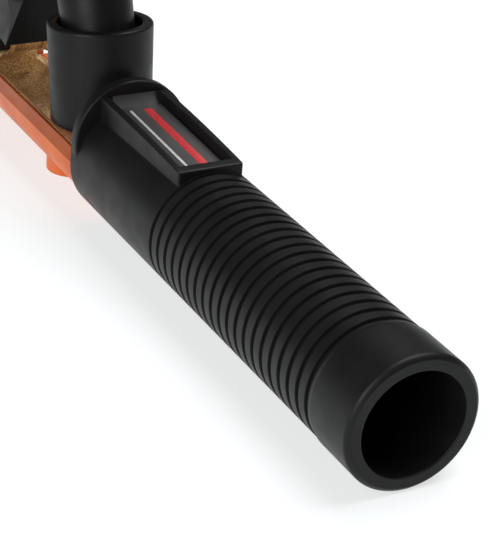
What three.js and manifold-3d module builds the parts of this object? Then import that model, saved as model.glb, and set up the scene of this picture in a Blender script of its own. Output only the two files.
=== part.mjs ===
// A 500 ampere welding electrode holder of the sprung-lever kind, in millimetres, +Z up.
// The handle's axis lies along X: its rear mouth, where the cable goes in, is at x = 0, and the jaws
// are at the far end. The lever is at rest, closed on its spring.
import * as THREE from 'three';
import { mergeVertices } from 'three/addons/utils/BufferGeometryUtils.js';
import Module from 'manifold-3d';

const wasm = await Module();
wasm.setup();

// ---------------------------------------------------------------- driving dimensions
const GAP = 0.3;

// handle
const HANDLE_R = 17.5;
const HANDLE_LENGTH = 157.5;
const BORE_R = 13.8;
const COLLAR_R = 17.8;
const COLLAR_LENGTH = 17.4;
const GROOVE_COUNT = 20;
const GROOVE_FIRST = 18.75;
const GROOVE_PITCH = 4.44;
const GROOVE_DEPTH = 0.75;
const GROOVE_HALF = 0.85;
const FLANGE_THICK = 3.7;
const FLANGE_RISE = 6.9;

// label box on the handle
const LABEL_BOX = { half: 9.8, low: 12 };
const LABEL_BOX_TOP = [[104.2, 18.7], [114, 19.3], [126, 20.0], [140, 20.5], [156.5, 20.7]];
const POCKET = { rear: 107.3, front: 153.8, halfWidth: 7.75, floorRear: 14.8, floorFront: 16.7 };
const LABEL_THICK = 0.8;

// screw that keeps the handle on the shank
const LOCK_SCREW = { x: 148, sink: 2.4, length: 6.2 };

// lower arm: trough, shank and cable socket
const ARM_REAR = HANDLE_LENGTH + 1.5;
const ARM_TOP = 4.6;
const ARM_R = 14.05;
const RIM_OUTER = 15.7;
const RIM_INNER = 14.8;
const RIM_FOOT = -0.6;
const POCKET_R = 11.8;
const STEP_START = 225;
const STEP_END = 238;
const STEP_TOP = -5.7;
const SHANK_R = 13.3;
const SHANK_REAR = 76;
const SOCKET_R = 9.5;
const SOCKET_FRONT = 140;

// orange shell under the lower arm, with its foot
const SHELL_R = 16.35;
const SHELL_INNER_R = ARM_R + GAP;
const SHELL_TOP = -0.9;
const SHELL_FRONT = 255.6;
const FOOT = { x: 196.4, r: 8.3, bottom: -20.1 };

// brown side strips above the shell
const STRIP = { inner: 16.0, outer: 16.7, rear: ARM_REAR + 0.2, front: 222.5 };

// spring cup, leaning forward
const CUP_LEAN = THREE.MathUtils.degToRad(5.35);
const CUP_X = 175.4;
const CUP_R = 14.87;
const CUP_WALL = 1.9;
const CUP_BOTTOM = 5.1;
const CUP_TOP = 33.5;
const CUP_FLOOR = 2.0;

// hinge and lever
const HINGE = { x: 240, z: 10.9 };
const LEVER_LEAN = THREE.MathUtils.degToRad(23.3);
const PIN_R = 3.3;
const BUSH_R = 4.9;
const LUG_HALF = 4.5;
const EAR_OUTER = 7.0;
const PIN_HALF = 8.0;
const WEB_HALF = 6.6;

// spring cap, square to the lever
const CAP_LINE = { x: 180.3, z: 33.2 };
const CAP_R = 10.15;
const CAP_TAPER = 0.5;
const CAP_WALL = 1.7;
const CAP_BELOW_RIM = 6.2;
const CAP_CROWN = 1.5;

// spring
const COIL_R = 5.6;
const WIRE_R = 1.15;
const COIL_TURNS = 7;

// bar of the upper arm, in the lever's own frame
const BAR = { rear: -76, front: 9, low: 14.3, high: 20.8, half: 5.5 };

// insulating cover of the lever, and the skirt that hangs from it round the hinge
const COVER = { high: 25, low: 14, tail: -128, wall: 1.6, topHalf: 9.9, lowHalf: 12.9 };
const SKIRT = { rear: 221.3, low: 12.4, high: 26.2, lean: 3, leanStart: -6, leanEnd: 2.2 };
const SKIRT_BEVEL = { low: 12.9, high: 5.6, slope: 1.1 };

// jaws
const JAW = { rear: 258, front: 290, halfWidth: 11, low: -13.5, meet: 8.0, high: 26 };
const JAW_CLEARANCE = 0.4;
const NOTCH = { x: 274, half: 4.8 };
const INSULATOR_WALL = 2.7;
const NECK = { rear: 250.5, half: 9.4, low: -9.5, high: 2 };

// fasteners
const SCREW_R = 2.2;
const SCREW_HEAD_R = 4.0;
const SCREW_HEAD_H = 2.6;
const CLAMP_SCREW_R = 4.0;
const CLAMP_SCREWS_X = [94, 114];
const CLAMP_SCREW = { low: 7.9, high: 12.4, driveR: 1.9, driveFloor: 10 };
const SHOE = { rear: 84, front: 124, half: 5.2, thick: 1.5, drop: 1.6 };
const SHELL_SCREW = { sink: 0.6, length: 8.0 };
const JAW_SCREWS_X = [265, 283];
const JAW_SCREW_LENGTH = 11;
const COVER_SCREWS = [-38, -16];
const COVER_SCREW = { length: 9.5, headHeight: 1.6 };

// ---------------------------------------------------------------- solids from three.js geometry

// Weld a three.js geometry into a closed solid with its faces pointing out.
function solid(geometry) {
  const bare = new THREE.BufferGeometry();
  bare.setAttribute('position', geometry.getAttribute('position').clone());
  if (geometry.index) bare.setIndex(geometry.index.clone());
  const welded = mergeVertices(bare, 1e-3);
  const points = welded.getAttribute('position').array;
  const index = welded.index.array;
  const triangles = [];
  let volume = 0;
  for (let i = 0; i < index.length; i += 3) {
    const [a, b, c] = [index[i], index[i + 1], index[i + 2]];
    if (a === b || b === c || c === a) continue;
    triangles.push(a, b, c);
    const [p, q, r] = [a, b, c].map((k) => new THREE.Vector3().fromArray(points, 3 * k));
    volume += p.dot(q.cross(r));
  }
  if (volume < 0) triangles.reverse();
  return new wasm.Manifold(new wasm.Mesh({
    numProp: 3,
    vertProperties: new Float32Array(points),
    triVerts: new Uint32Array(triangles),
  }));
}

// Turn a solid back into a three.js geometry.
function geometryOf(body) {
  const mesh = body.getMesh();
  const geometry = new THREE.BufferGeometry();
  geometry.setAttribute('position', new THREE.BufferAttribute(mesh.vertProperties.slice(), 3));
  geometry.setIndex([...mesh.triVerts]);
  geometry.computeVertexNormals();
  return geometry;
}

function union(...bodies) {
  return bodies.reduce((sum, body) => sum.add(body));
}

function cut(body, ...tools) {
  return tools.reduce((rest, tool) => rest.subtract(tool), body);
}

function box(x, y, z) {
  const geometry = new THREE.BoxGeometry(x[1] - x[0], y[1] - y[0], z[1] - z[0]);
  geometry.translate((x[0] + x[1]) / 2, (y[0] + y[1]) / 2, (z[0] + z[1]) / 2);
  return solid(geometry);
}

function shapeOf(points) {
  return new THREE.Shape(points.map(([a, b]) => new THREE.Vector2(a, b)));
}

// A side profile, given as x and z, carried across the part from y[0] to y[1].
function acrossY(shape, y, curveSegments = 10) {
  const depth = y[1] - y[0];
  const geometry = new THREE.ExtrudeGeometry(shape, { depth, bevelEnabled: false, curveSegments });
  geometry.rotateX(Math.PI / 2);
  geometry.translate(0, y[1], 0);
  return solid(geometry);
}

// A cross-section, given as y and z, carried along the part from x[0] to x[1].
function alongX(shape, x, curveSegments = 14) {
  const depth = x[1] - x[0];
  const geometry = new THREE.ExtrudeGeometry(shape, { depth, bevelEnabled: false, curveSegments });
  const turn = new THREE.Matrix4().makeBasis(
    new THREE.Vector3(0, 1, 0), new THREE.Vector3(0, 0, 1), new THREE.Vector3(1, 0, 0));
  geometry.applyMatrix4(turn);
  geometry.translate(x[0], 0, 0);
  return solid(geometry);
}

// A profile of [x, radius] points turned about the X axis.
function turnedX(profile, segments = 28) {
  const geometry = new THREE.LatheGeometry(profile.map(([x, r]) => new THREE.Vector2(r, x)), segments);
  geometry.rotateZ(-Math.PI / 2);
  return solid(geometry);
}

// A profile of [radius, height] points turned about a line through origin that leans forward from +Z.
function turnedUp(profile, origin, lean = 0, segments = 28) {
  const geometry = new THREE.LatheGeometry(profile.map(([r, h]) => new THREE.Vector2(r, h)), segments);
  geometry.rotateX(Math.PI / 2);
  geometry.rotateY(lean);
  geometry.translate(...origin);
  return solid(geometry);
}

function discUp(r, z, x, y = 0, segments = 20) {
  return turnedUp([[0, z[0]], [r, z[0]], [r, z[1]], [0, z[1]]], [x, y, 0], 0, segments);
}

function discAcross(r, y, x, z, segments = 20) {
  const geometry = new THREE.CylinderGeometry(r, r, y[1] - y[0], segments);
  geometry.translate(x, (y[0] + y[1]) / 2, z);
  return solid(geometry);
}

function discAlong(r, x, segments = 28, z = 0) {
  return turnedX([[x[0], 0], [x[0], r], [x[1], r], [x[1], 0]], segments).translate([0, 0, z]);
}

// A point of the lever's own frame: forward along the lever, and square to it, from the hinge.
function lever(forward, out) {
  const sin = Math.sin(LEVER_LEAN);
  const cos = Math.cos(LEVER_LEAN);
  return [HINGE.x + forward * cos + out * sin, HINGE.z - forward * sin + out * cos];
}

// How far a point lies square to the lever from the hinge.
function leverOut(x, z) {
  return (x - HINGE.x) * Math.sin(LEVER_LEAN) + (z - HINGE.z) * Math.cos(LEVER_LEAN);
}

// A point on the axis of the spring cup.
function cupPoint(height) {
  return [CUP_X + height * Math.sin(CUP_LEAN), height * Math.cos(CUP_LEAN)];
}

// A point on the axis of the spring cap, measured up from the level of the cup's rim.
function capPoint(up) {
  return [CAP_LINE.x + up * Math.sin(LEVER_LEAN), CAP_LINE.z + up * Math.cos(LEVER_LEAN)];
}

// ---------------------------------------------------------------- materials

function material(color, roughness, metalness = 0) {
  return new THREE.MeshStandardMaterial({ color, roughness, metalness });
}

const blackPlastic = material(0x222222, 0.5);
const orangePlastic = material(0xd9683a, 0.45);
const brownLaminate = material(0x9a4f22, 0.6);
const brass = material(0xa87a45, 0.4, 1);
const steel = material(0x8d8f92, 0.35, 1);
const labelPlastic = material(0x2c2a2a, 0.3);
const bronze = material(0x9c6b3a, 0.4, 1);
const copper = material(0xb56a45, 0.4, 1);

const holder = new THREE.Group();
holder.name = 'electrode_holder';

function place(name, body, finish) {
  const mesh = new THREE.Mesh(geometryOf(body), finish);
  mesh.name = name;
  holder.add(mesh);
}

// ---------------------------------------------------------------- handle

function handleProfile() {
  const profile = [[0, BORE_R + 0.5], [0, COLLAR_R - 2.0], [0.6, COLLAR_R - 0.6], [2.0, COLLAR_R]];
  profile.push([COLLAR_LENGTH - 1.5, COLLAR_R], [COLLAR_LENGTH, HANDLE_R]);
  for (let i = 0; i < GROOVE_COUNT; i += 1) {
    const x = GROOVE_FIRST + i * GROOVE_PITCH;
    profile.push([x - GROOVE_HALF, HANDLE_R], [x, HANDLE_R - GROOVE_DEPTH], [x + GROOVE_HALF, HANDLE_R]);
  }
  profile.push([HANDLE_LENGTH, HANDLE_R], [HANDLE_LENGTH, BORE_R], [0.5, BORE_R]);
  profile.push([0, BORE_R + 0.5]);
  return profile;
}

function makeHandle() {
  const tube = turnedX(handleProfile(), 24);
  const rear = LABEL_BOX_TOP[0][0];
  const front = LABEL_BOX_TOP.at(-1)[0];
  const labelBox = acrossY(shapeOf([[rear, LABEL_BOX.low], [front, LABEL_BOX.low],
    ...LABEL_BOX_TOP.toReversed()]), [-LABEL_BOX.half, LABEL_BOX.half]);
  const flange = discAlong(HANDLE_R, [HANDLE_LENGTH - FLANGE_THICK, HANDLE_LENGTH], 32, FLANGE_RISE);
  const pocket = acrossY(shapeOf([[POCKET.rear, POCKET.floorRear], [POCKET.front, POCKET.floorFront],
    [POCKET.front, POCKET.floorFront + 10], [POCKET.rear, POCKET.floorFront + 10]]),
  [-POCKET.halfWidth, POCKET.halfWidth]);
  const bore = discAlong(BORE_R, [-1, HANDLE_LENGTH + 1], 24);
  const lockHole = discUp(SCREW_R + GAP, [-HANDLE_R - 1, -BORE_R + 1], LOCK_SCREW.x);
  const lockHead = discUp(SCREW_HEAD_R + GAP, [-HANDLE_R - 1, -HANDLE_R + LOCK_SCREW.sink], LOCK_SCREW.x);
  return cut(union(tube, labelBox, flange), bore, pocket, lockHole, lockHead);
}

place('handle', makeHandle(), blackPlastic);

// A flat plate that lies along the pocket's sloping floor.
function makeLabelPlate() {
  const rear = [POCKET.rear + GAP, POCKET.floorRear + GAP];
  const front = [POCKET.front - GAP, POCKET.floorFront + GAP];
  return acrossY(shapeOf([rear, front, [front[0], front[1] + LABEL_THICK],
    [rear[0], rear[1] + LABEL_THICK]]), [-POCKET.halfWidth + GAP, POCKET.halfWidth - GAP]);
}

place('label_plate', makeLabelPlate(), labelPlastic);

// ---------------------------------------------------------------- lower arm

// The trough's cross-section: upright rims over a half-round belly.
function troughSection(rim, foot, radius, top) {
  const shape = new THREE.Shape();
  const side = Math.sqrt(radius * radius - foot * foot);
  shape.moveTo(-rim, top);
  shape.lineTo(-rim, foot);
  shape.lineTo(-side, foot);
  const start = Math.PI + Math.asin(-foot / radius);
  const end = 2 * Math.PI - Math.asin(-foot / radius);
  shape.absarc(0, 0, radius, start, end, false);
  shape.lineTo(rim, foot);
  shape.lineTo(rim, top);
  return shape;
}

// What stands above the rims where they step down ahead of the cup.
function aboveStep(top, front) {
  return acrossY(shapeOf([[STEP_START, top], [STEP_END, STEP_TOP], [front, STEP_TOP],
    [front, top + 10], [STEP_START, top + 10]]), [-30, 30]);
}

function makeLowerArm() {
  const belly = alongX(troughSection(RIM_OUTER, RIM_FOOT, ARM_R, ARM_TOP), [ARM_REAR, SHELL_FRONT]);
  const pad = discUp(CUP_R + 0.4, [-20, 20], cupPoint(CUP_BOTTOM)[0], 0, 40);
  const channel = alongX(troughSection(RIM_INNER, -1.5, POCKET_R, ARM_TOP + 1), [180, NECK.rear + 1]);
  const hollow = cut(channel, pad);
  const trough = cut(belly, hollow, aboveStep(ARM_TOP, SHELL_FRONT + 1));
  const head = box([JAW.rear, JAW.front], [-JAW.halfWidth, JAW.halfWidth],
    [JAW.low, JAW.meet - JAW_CLEARANCE / 2]);
  const neck = box([NECK.rear, JAW.rear + 2], [-NECK.half, NECK.half], [NECK.low, NECK.high]);
  const lug = acrossY(shapeOf([[NECK.rear + 1, -5], [255, -5], [255, 3], [248.5, 6], [246, 14.5],
    [240, 18.2], [234, 14.5], [233.4, 8], [236, 4], [244, 1.5]]), [-LUG_HALF, LUG_HALF]);
  const shank = discAlong(SHANK_R, [SHANK_REAR, ARM_REAR + 1]);
  const socket = discAlong(SOCKET_R, [SHANK_REAR - 1, SOCKET_FRONT]);
  const pinHole = discAcross(PIN_R + GAP, [-20, 20], HINGE.x, HINGE.z);
  const notches = notchCutter();
  const footScrew = discUp(SCREW_R + GAP, [-20, -11], FOOT.x);
  const cupScrew = discUp(SCREW_R + GAP, [-6, 10], cupPoint(CUP_BOTTOM)[0]);
  const lockScrew = discUp(SCREW_R + GAP, [-14, -10.5], LOCK_SCREW.x);
  const clampHoles = CLAMP_SCREWS_X.map((x) => discUp(CLAMP_SCREW_R + GAP, [5, 15], x));
  const jawScrews = JAW_SCREWS_X.map((x) => discUp(SCREW_R + GAP, [JAW.low - 1, JAW.low + 7], x));
  return cut(union(trough, head, neck, lug, shank), socket, pinHole, notches, footScrew, cupScrew,
    lockScrew, ...clampHoles, ...jawScrews);
}

// The slot across both jaws that grips the electrode, square to the holder.
function notchCutter() {
  const { x, half } = NOTCH;
  const side = shapeOf([[x - half, JAW.meet], [x, JAW.meet - half], [x + half, JAW.meet],
    [x, JAW.meet + half]]);
  return acrossY(side, [-30, 30]);
}

place('lower_arm', makeLowerArm(), brass);

// ---------------------------------------------------------------- insulation of the lower arm

function makeArmShell() {
  const outer = new THREE.Shape();
  const tilt = Math.asin(-SHELL_TOP / SHELL_R);
  outer.absarc(0, 0, SHELL_R, Math.PI + tilt, 2 * Math.PI - tilt, false);
  const belly = alongX(outer, [ARM_REAR, SHELL_FRONT], 28);
  const foot = discUp(FOOT.r, [FOOT.bottom, -13], FOOT.x, 0, 28);
  const inside = discAlong(SHELL_INNER_R, [ARM_REAR - 1, SHELL_FRONT + 1], 36);
  const screwHole = discUp(SCREW_R + GAP, [-25, -10], FOOT.x);
  const headHole = discUp(SCREW_HEAD_R + GAP, [-25, FOOT.bottom + SCREW_HEAD_H + 0.6], FOOT.x);
  return cut(union(belly, foot), inside, screwHole, headHole, aboveStep(SHELL_TOP, SHELL_FRONT + 1));
}

place('arm_shell', makeArmShell(), orangePlastic);

for (const [name, side] of [['side_strip_left', 1], ['side_strip_right', -1]]) {
  const y = [side * STRIP.inner, side * STRIP.outer].sort((a, b) => a - b);
  place(name, box([STRIP.rear, STRIP.front], y, [SHELL_TOP + GAP, ARM_TOP - 0.1]), brownLaminate);
}

// A pan-head screw with a slot, its head at `head` and its shank pointing along `way` (+1 up, -1 down).
function makeScrew(x, head, length, way) {
  const profile = [[0, 0], [SCREW_HEAD_R * 0.82, 0], [SCREW_HEAD_R, 0.7], [SCREW_HEAD_R, SCREW_HEAD_H],
    [SCREW_R, SCREW_HEAD_H], [SCREW_R, length], [0, length]];
  const body = turnedUp(profile.map(([r, h]) => [r, way * h]), [x, 0, head], 0, 16);
  const slot = box([x - 5, x + 5], [-0.5, 0.5], [head - 1.1, head + 1.1]);
  return cut(body, slot);
}

const lockHeadLow = -HANDLE_R + LOCK_SCREW.sink - GAP - SCREW_HEAD_H;
place('shell_screw', makeScrew(FOOT.x, FOOT.bottom + SHELL_SCREW.sink, SHELL_SCREW.length, 1), steel);
place('handle_lock_screw', makeScrew(LOCK_SCREW.x, lockHeadLow, LOCK_SCREW.length, 1), steel);

// ---------------------------------------------------------------- cable clamp

for (const [i, x] of CLAMP_SCREWS_X.entries()) {
  const body = discUp(CLAMP_SCREW_R, [CLAMP_SCREW.low, CLAMP_SCREW.high], x, 0, 20);
  const driveHole = discUp(CLAMP_SCREW.driveR, [CLAMP_SCREW.driveFloor, CLAMP_SCREW.high + 1], x, 0, 6);
  place(`clamp_screw_${i + 1}`, cut(body, driveHole), steel);
}

// A curved strip, cut from the upper side of a ring that fits the socket's wall.
function makeClampShoe() {
  const outer = SOCKET_R - 0.4;
  const ring = cut(discAlong(outer, [SHOE.rear, SHOE.front], 36),
    discAlong(outer - SHOE.thick, [SHOE.rear - 1, SHOE.front + 1], 36));
  return ring.intersect(box([SHOE.rear - 1, SHOE.front + 1], [-SHOE.half, SHOE.half], [0, SOCKET_R]));
}

place('cable_clamp_shoe', makeClampShoe().translate([0, 0, -SHOE.drop]), copper);

// ---------------------------------------------------------------- spring, cup and cap

function makeCup() {
  const inner = CUP_R - CUP_WALL;
  const profile = [[0, CUP_BOTTOM], [CUP_R - 0.5, CUP_BOTTOM], [CUP_R, CUP_BOTTOM + 0.5],
    [CUP_R, CUP_TOP - 0.3], [CUP_R - 0.3, CUP_TOP], [inner + 0.3, CUP_TOP], [inner, CUP_TOP - 0.3],
    [inner, CUP_BOTTOM + CUP_FLOOR], [0, CUP_BOTTOM + CUP_FLOOR]];
  const cup = turnedUp(profile, [CUP_X, 0, 0], CUP_LEAN, 32);
  const foot = discUp(CUP_R - 1, [ARM_TOP + GAP, CUP_BOTTOM + 1.4], cupPoint(CUP_BOTTOM)[0], 0, 32);
  const top = box([CUP_X - 30, CUP_X + 30], [-30, 30], [-20, ARM_TOP + GAP]);
  const screwHole = discUp(SCREW_R + GAP, [0, 10], cupPoint(CUP_BOTTOM)[0]);
  return cut(union(cup, foot), top, screwHole);
}

place('spring_cup', makeCup(), blackPlastic);

const cupFloor = cupPoint(CUP_BOTTOM + CUP_FLOOR);

place('cup_screw', turnedUp([[0, -9], [SCREW_R, -9], [SCREW_R, 0.9], [4.4, 0.9], [3.6, 2.4], [0, 2.4]],
  [cupPoint(CUP_BOTTOM)[0], 0, cupFloor[1]], 0, 16), steel);

const springFloor = cupPoint(CUP_BOTTOM + CUP_FLOOR + 0.9 + WIRE_R);
const capTop = BAR.low - GAP - leverOut(CAP_LINE.x, CAP_LINE.z);
const springSeat = capPoint(capTop - CAP_CROWN - GAP - WIRE_R);

place('spring_washer', turnedUp([[4.8, 0.4], [8.4, 0.4], [8.4, 0.8], [4.8, 0.8], [4.8, 0.4]],
  [cupFloor[0], 0, cupFloor[1]], CUP_LEAN, 24), steel);

// The coil follows the cup's axis, then the cap's.
class Coil extends THREE.Curve {
  constructor(spine, radius, turns) {
    super();
    this.spine = spine;
    this.radius = radius;
    this.turns = turns;
  }

  getPoint(t, target = new THREE.Vector3()) {
    const centre = this.spine.getPoint(t);
    const along = this.spine.getTangent(t);
    const across = new THREE.Vector3(0, 1, 0);
    const side = new THREE.Vector3().crossVectors(along, across);
    const angle = 2 * Math.PI * this.turns * t;
    return target.copy(centre)
      .addScaledVector(across, this.radius * Math.cos(angle))
      .addScaledVector(side, this.radius * Math.sin(angle));
  }
}

const bend = capPoint(-CAP_BELOW_RIM);
const spine = new THREE.QuadraticBezierCurve3(
  new THREE.Vector3(springFloor[0], 0, springFloor[1]),
  new THREE.Vector3(bend[0], 0, bend[1]),
  new THREE.Vector3(springSeat[0], 0, springSeat[1]));
const wire = new THREE.Shape();
wire.absarc(0, 0, WIRE_R, 0, 2 * Math.PI, false);
place('spring', solid(new THREE.ExtrudeGeometry(wire, {
  steps: COIL_TURNS * 10,
  curveSegments: 3,
  bevelEnabled: false,
  extrudePath: new Coil(spine, COIL_R, COIL_TURNS),
})), steel);

function makeCap() {
  const low = -CAP_BELOW_RIM;
  const crown = capTop - CAP_CROWN;
  const inner = CAP_R - CAP_WALL;
  const hole = SCREW_R + GAP;
  const profile = [[inner, low], [CAP_R - 0.4, low], [CAP_R, low + 0.4], [CAP_R + CAP_TAPER, capTop],
    [hole, capTop], [hole, crown], [inner, crown], [inner, low]];
  return turnedUp(profile, [CAP_LINE.x, 0, CAP_LINE.z], LEVER_LEAN, 32);
}

place('spring_cap', makeCap(), blackPlastic);

const capScrewHead = capTop - CAP_CROWN - GAP;
place('cap_screw', turnedUp([[0, capScrewHead - 1.6], [3.2, capScrewHead - 1.6], [3.8, capScrewHead - 0.6],
  [3.8, capScrewHead], [SCREW_R, capScrewHead], [SCREW_R, capTop + 4], [0, capTop + 4]],
[CAP_LINE.x, 0, CAP_LINE.z], LEVER_LEAN, 16), steel);

// ---------------------------------------------------------------- upper arm

function makeUpperArm() {
  const bar = acrossY(shapeOf([lever(BAR.rear, BAR.low), lever(BAR.front, BAR.low),
    lever(BAR.front, BAR.high), lever(BAR.rear, BAR.high)]), [-BAR.half, BAR.half]);
  const ears = acrossY(shapeOf([[232, 10], [235, 4], [240, 2.2], [246, 4.2], [252, 9.5], [259, 9.5],
    [259, 22], [233, 22]]), [-EAR_OUTER, EAR_OUTER]);
  const web = acrossY(shapeOf([lever(-20, BAR.low), [233, 20], [259, 20], [259, 25.5], [256, 25.5],
    lever(-4, BAR.high), lever(-12, BAR.high)]), [-WEB_HALF, WEB_HALF]);
  const slot = acrossY(shapeOf([[224, -5], [256, -5], [251.5, 14], [247.5, 19.0], [240, 20.0],
    [232, 17.5], [224, 12]]), [-LUG_HALF - GAP, LUG_HALF + GAP]);
  const head = box([JAW.rear, JAW.front], [-JAW.halfWidth, JAW.halfWidth],
    [JAW.meet + JAW_CLEARANCE / 2, JAW.high]);
  const bushHoles = discAcross(BUSH_R + GAP, [-20, 20], HINGE.x, HINGE.z);
  const jawScrews = JAW_SCREWS_X.map((x) => discUp(SCREW_R + GAP, [JAW.high - 7, JAW.high + 1], x));
  const coverScrews = COVER_SCREWS.map((a) => holeThroughLever(a, [BAR.low - 1, BAR.high + 1]));
  const [capX, capZ] = capPoint(0);
  const capHole = turnedUp([[0, capTop - 1], [SCREW_R + GAP, capTop - 1], [SCREW_R + GAP, capTop + 5],
    [0, capTop + 5]], [capX, 0, capZ], LEVER_LEAN, 16);
  return cut(union(bar, ears, web, head), slot, bushHoles, notchCutter(), capHole, ...jawScrews,
    ...coverScrews);
}

// A screw hole square to the lever, at a place along it.
function holeThroughLever(forward, out) {
  const [x, z] = lever(forward, 0);
  const r = SCREW_R + GAP;
  return turnedUp([[0, out[0]], [r, out[0]], [r, out[1]], [0, out[1]]], [x, 0, z], LEVER_LEAN, 16);
}

place('upper_arm', makeUpperArm(), brass);

// ---------------------------------------------------------------- hinge

place('hinge_pin', discAcross(PIN_R, [-PIN_HALF, PIN_HALF], HINGE.x, HINGE.z, 20), steel);

for (const [name, side] of [['left', 1], ['right', -1]]) {
  const across = (a, b) => [side * a, side * b].sort((p, q) => p - q);
  const bore = discAcross(PIN_R + GAP, [-20, 20], HINGE.x, HINGE.z, 20);
  place(`hinge_bush_${name}`, cut(discAcross(BUSH_R, across(LUG_HALF + GAP, EAR_OUTER - 0.1),
    HINGE.x, HINGE.z, 20), bore), bronze);
  place(`retaining_ring_${name}`, cut(discAcross(6.2, across(EAR_OUTER + 0.1, EAR_OUTER + 0.8),
    HINGE.x, HINGE.z, 20), bore), steel);
}

// ---------------------------------------------------------------- lever cover

// The cover seen from the side, with `inset` taken off all round for its hollow.
function coverSide(inset) {
  const shape = new THREE.Shape();
  const start = [SKIRT.rear + inset, SKIRT.low];
  shape.moveTo(...start);
  shape.lineTo(SKIRT.rear + SKIRT.lean + inset, SKIRT.high + inset);
  shape.lineTo(...lever(-40, COVER.low));
  shape.lineTo(...lever(-74, COVER.low));
  shape.quadraticCurveTo(...lever(-104, COVER.low), ...lever(COVER.tail + inset, COVER.low + 5));
  shape.lineTo(...lever(COVER.tail + inset, COVER.low + 12 - inset));
  shape.quadraticCurveTo(...lever(-98, COVER.high - 3 - inset), ...lever(-70, COVER.high - inset));
  shape.lineTo(...lever(-14, COVER.high - inset));
  shape.quadraticCurveTo(...lever(6, COVER.high - inset), 256 - inset, 29.5 - inset);
  shape.lineTo(256 - inset, 13);
  shape.quadraticCurveTo(252, 3, 240, 1.6);
  shape.quadraticCurveTo(230, 1.6, 228, 12.4);
  shape.lineTo(...start);
  return shape;
}

// The cover's cross-section, square to the lever: upright sides that lean in towards a round back.
function coverSection(inset, low) {
  const shape = new THREE.Shape();
  const top = COVER.high - inset;
  shape.moveTo(-COVER.lowHalf + inset, low);
  shape.lineTo(COVER.lowHalf - inset, low);
  shape.lineTo(COVER.lowHalf - inset, SKIRT.leanStart);
  shape.lineTo(COVER.topHalf - inset, SKIRT.leanEnd);
  shape.lineTo(COVER.topHalf - inset, top - 4);
  shape.quadraticCurveTo(COVER.topHalf - inset, top, COVER.topHalf - inset - 4, top);
  shape.lineTo(-COVER.topHalf + inset + 4, top);
  shape.quadraticCurveTo(-COVER.topHalf + inset, top, -COVER.topHalf + inset, top - 4);
  shape.lineTo(-COVER.topHalf + inset, SKIRT.leanEnd);
  shape.lineTo(-COVER.lowHalf + inset, SKIRT.leanStart);
  return shape;
}

// A cross-section carried along the lever.
function alongLever(shape, forward) {
  return alongX(shape, forward, 6)
    .rotate([0, THREE.MathUtils.radToDeg(LEVER_LEAN), 0])
    .translate([HINGE.x, 0, HINGE.z]);
}

// What the two bevels of the skirt's rear corners take off: each is a slanted plane that leaves the
// rear wall at its full width below and narrow above. `inset` moves the planes in for the hollow.
function skirtBevels(inset) {
  const low = new THREE.Vector3(SKIRT.rear, SKIRT_BEVEL.low, SKIRT.low);
  const high = new THREE.Vector3(SKIRT.rear + SKIRT.lean, SKIRT_BEVEL.high, SKIRT.high);
  const along = new THREE.Vector3(1, SKIRT_BEVEL.slope, 0).normalize();
  const out = new THREE.Vector3().crossVectors(along, high.clone().sub(low)).normalize();
  if (out.y < 0) out.negate();
  const geometry = new THREE.BoxGeometry(60, 60, 60);
  geometry.translate(0, 0, 30 - inset);
  geometry.applyMatrix4(new THREE.Matrix4().makeBasis(along, out.clone().cross(along), out));
  geometry.translate(...high);
  const below = box([200, 250], [-30, 30], [-20, SKIRT.high + inset]);
  const left = solid(geometry).intersect(below);
  return [left, left.mirror([0, 1, 0])];
}

// The cover's outside, or its hollow when `inset` is the wall.
function coverBody(inset, low) {
  return acrossY(coverSide(inset), [-20, 20], 8)
    .intersect(alongLever(coverSection(inset, low), [-140, 40]));
}

// A slot from the underside up into the hollow, over a stretch of the lever.
function coverSlot(half, low, forward) {
  const top = COVER.high - 5;
  return alongLever(shapeOf([[-half, low], [half, low], [half, top], [-half, top]]), forward);
}

function makeLeverCover() {
  const innerHalf = COVER.topHalf - COVER.wall;
  const skirtInside = SKIRT.rear + COVER.wall;
  const mouth = acrossY(shapeOf([[skirtInside, -10], [262, -10], [262, 12], [250, 20],
    [skirtInside + SKIRT.lean, 20], [skirtInside, SKIRT.low]]), [-innerHalf, innerHalf]);
  const front = box([250, 262], [-EAR_OUTER - GAP, EAR_OUTER + GAP], [0, 28.3]);
  const screwHoles = COVER_SCREWS.map((a) => holeThroughLever(a, [BAR.high, COVER.high + 2]));
  const grip = coverSlot(innerHalf, 0, [-110, -44]);
  const barSlot = coverSlot(BAR.half + 0.4, BAR.low - GAP, [-110, -17]);
  const hollow = cut(union(coverBody(COVER.wall, -40), mouth), ...skirtBevels(COVER.wall));
  return cut(coverBody(0, -30), ...skirtBevels(0), hollow, front, grip, barSlot, ...screwHoles);
}

place('lever_cover', makeLeverCover(), blackPlastic);

COVER_SCREWS.forEach((forward, i) => {
  const [x, z] = lever(forward, 0);
  const head = COVER.high + GAP;
  const tip = head - COVER_SCREW.length;
  const top = head + COVER_SCREW.headHeight;
  const profile = [[0, tip], [SCREW_R, tip], [SCREW_R, head], [SCREW_HEAD_R, head],
    [SCREW_HEAD_R * 0.8, top], [0, top]];
  place(`cover_screw_${i + 1}`, turnedUp(profile, [x, 0, z], LEVER_LEAN, 16), steel);
});

// ---------------------------------------------------------------- jaw insulators

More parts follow.
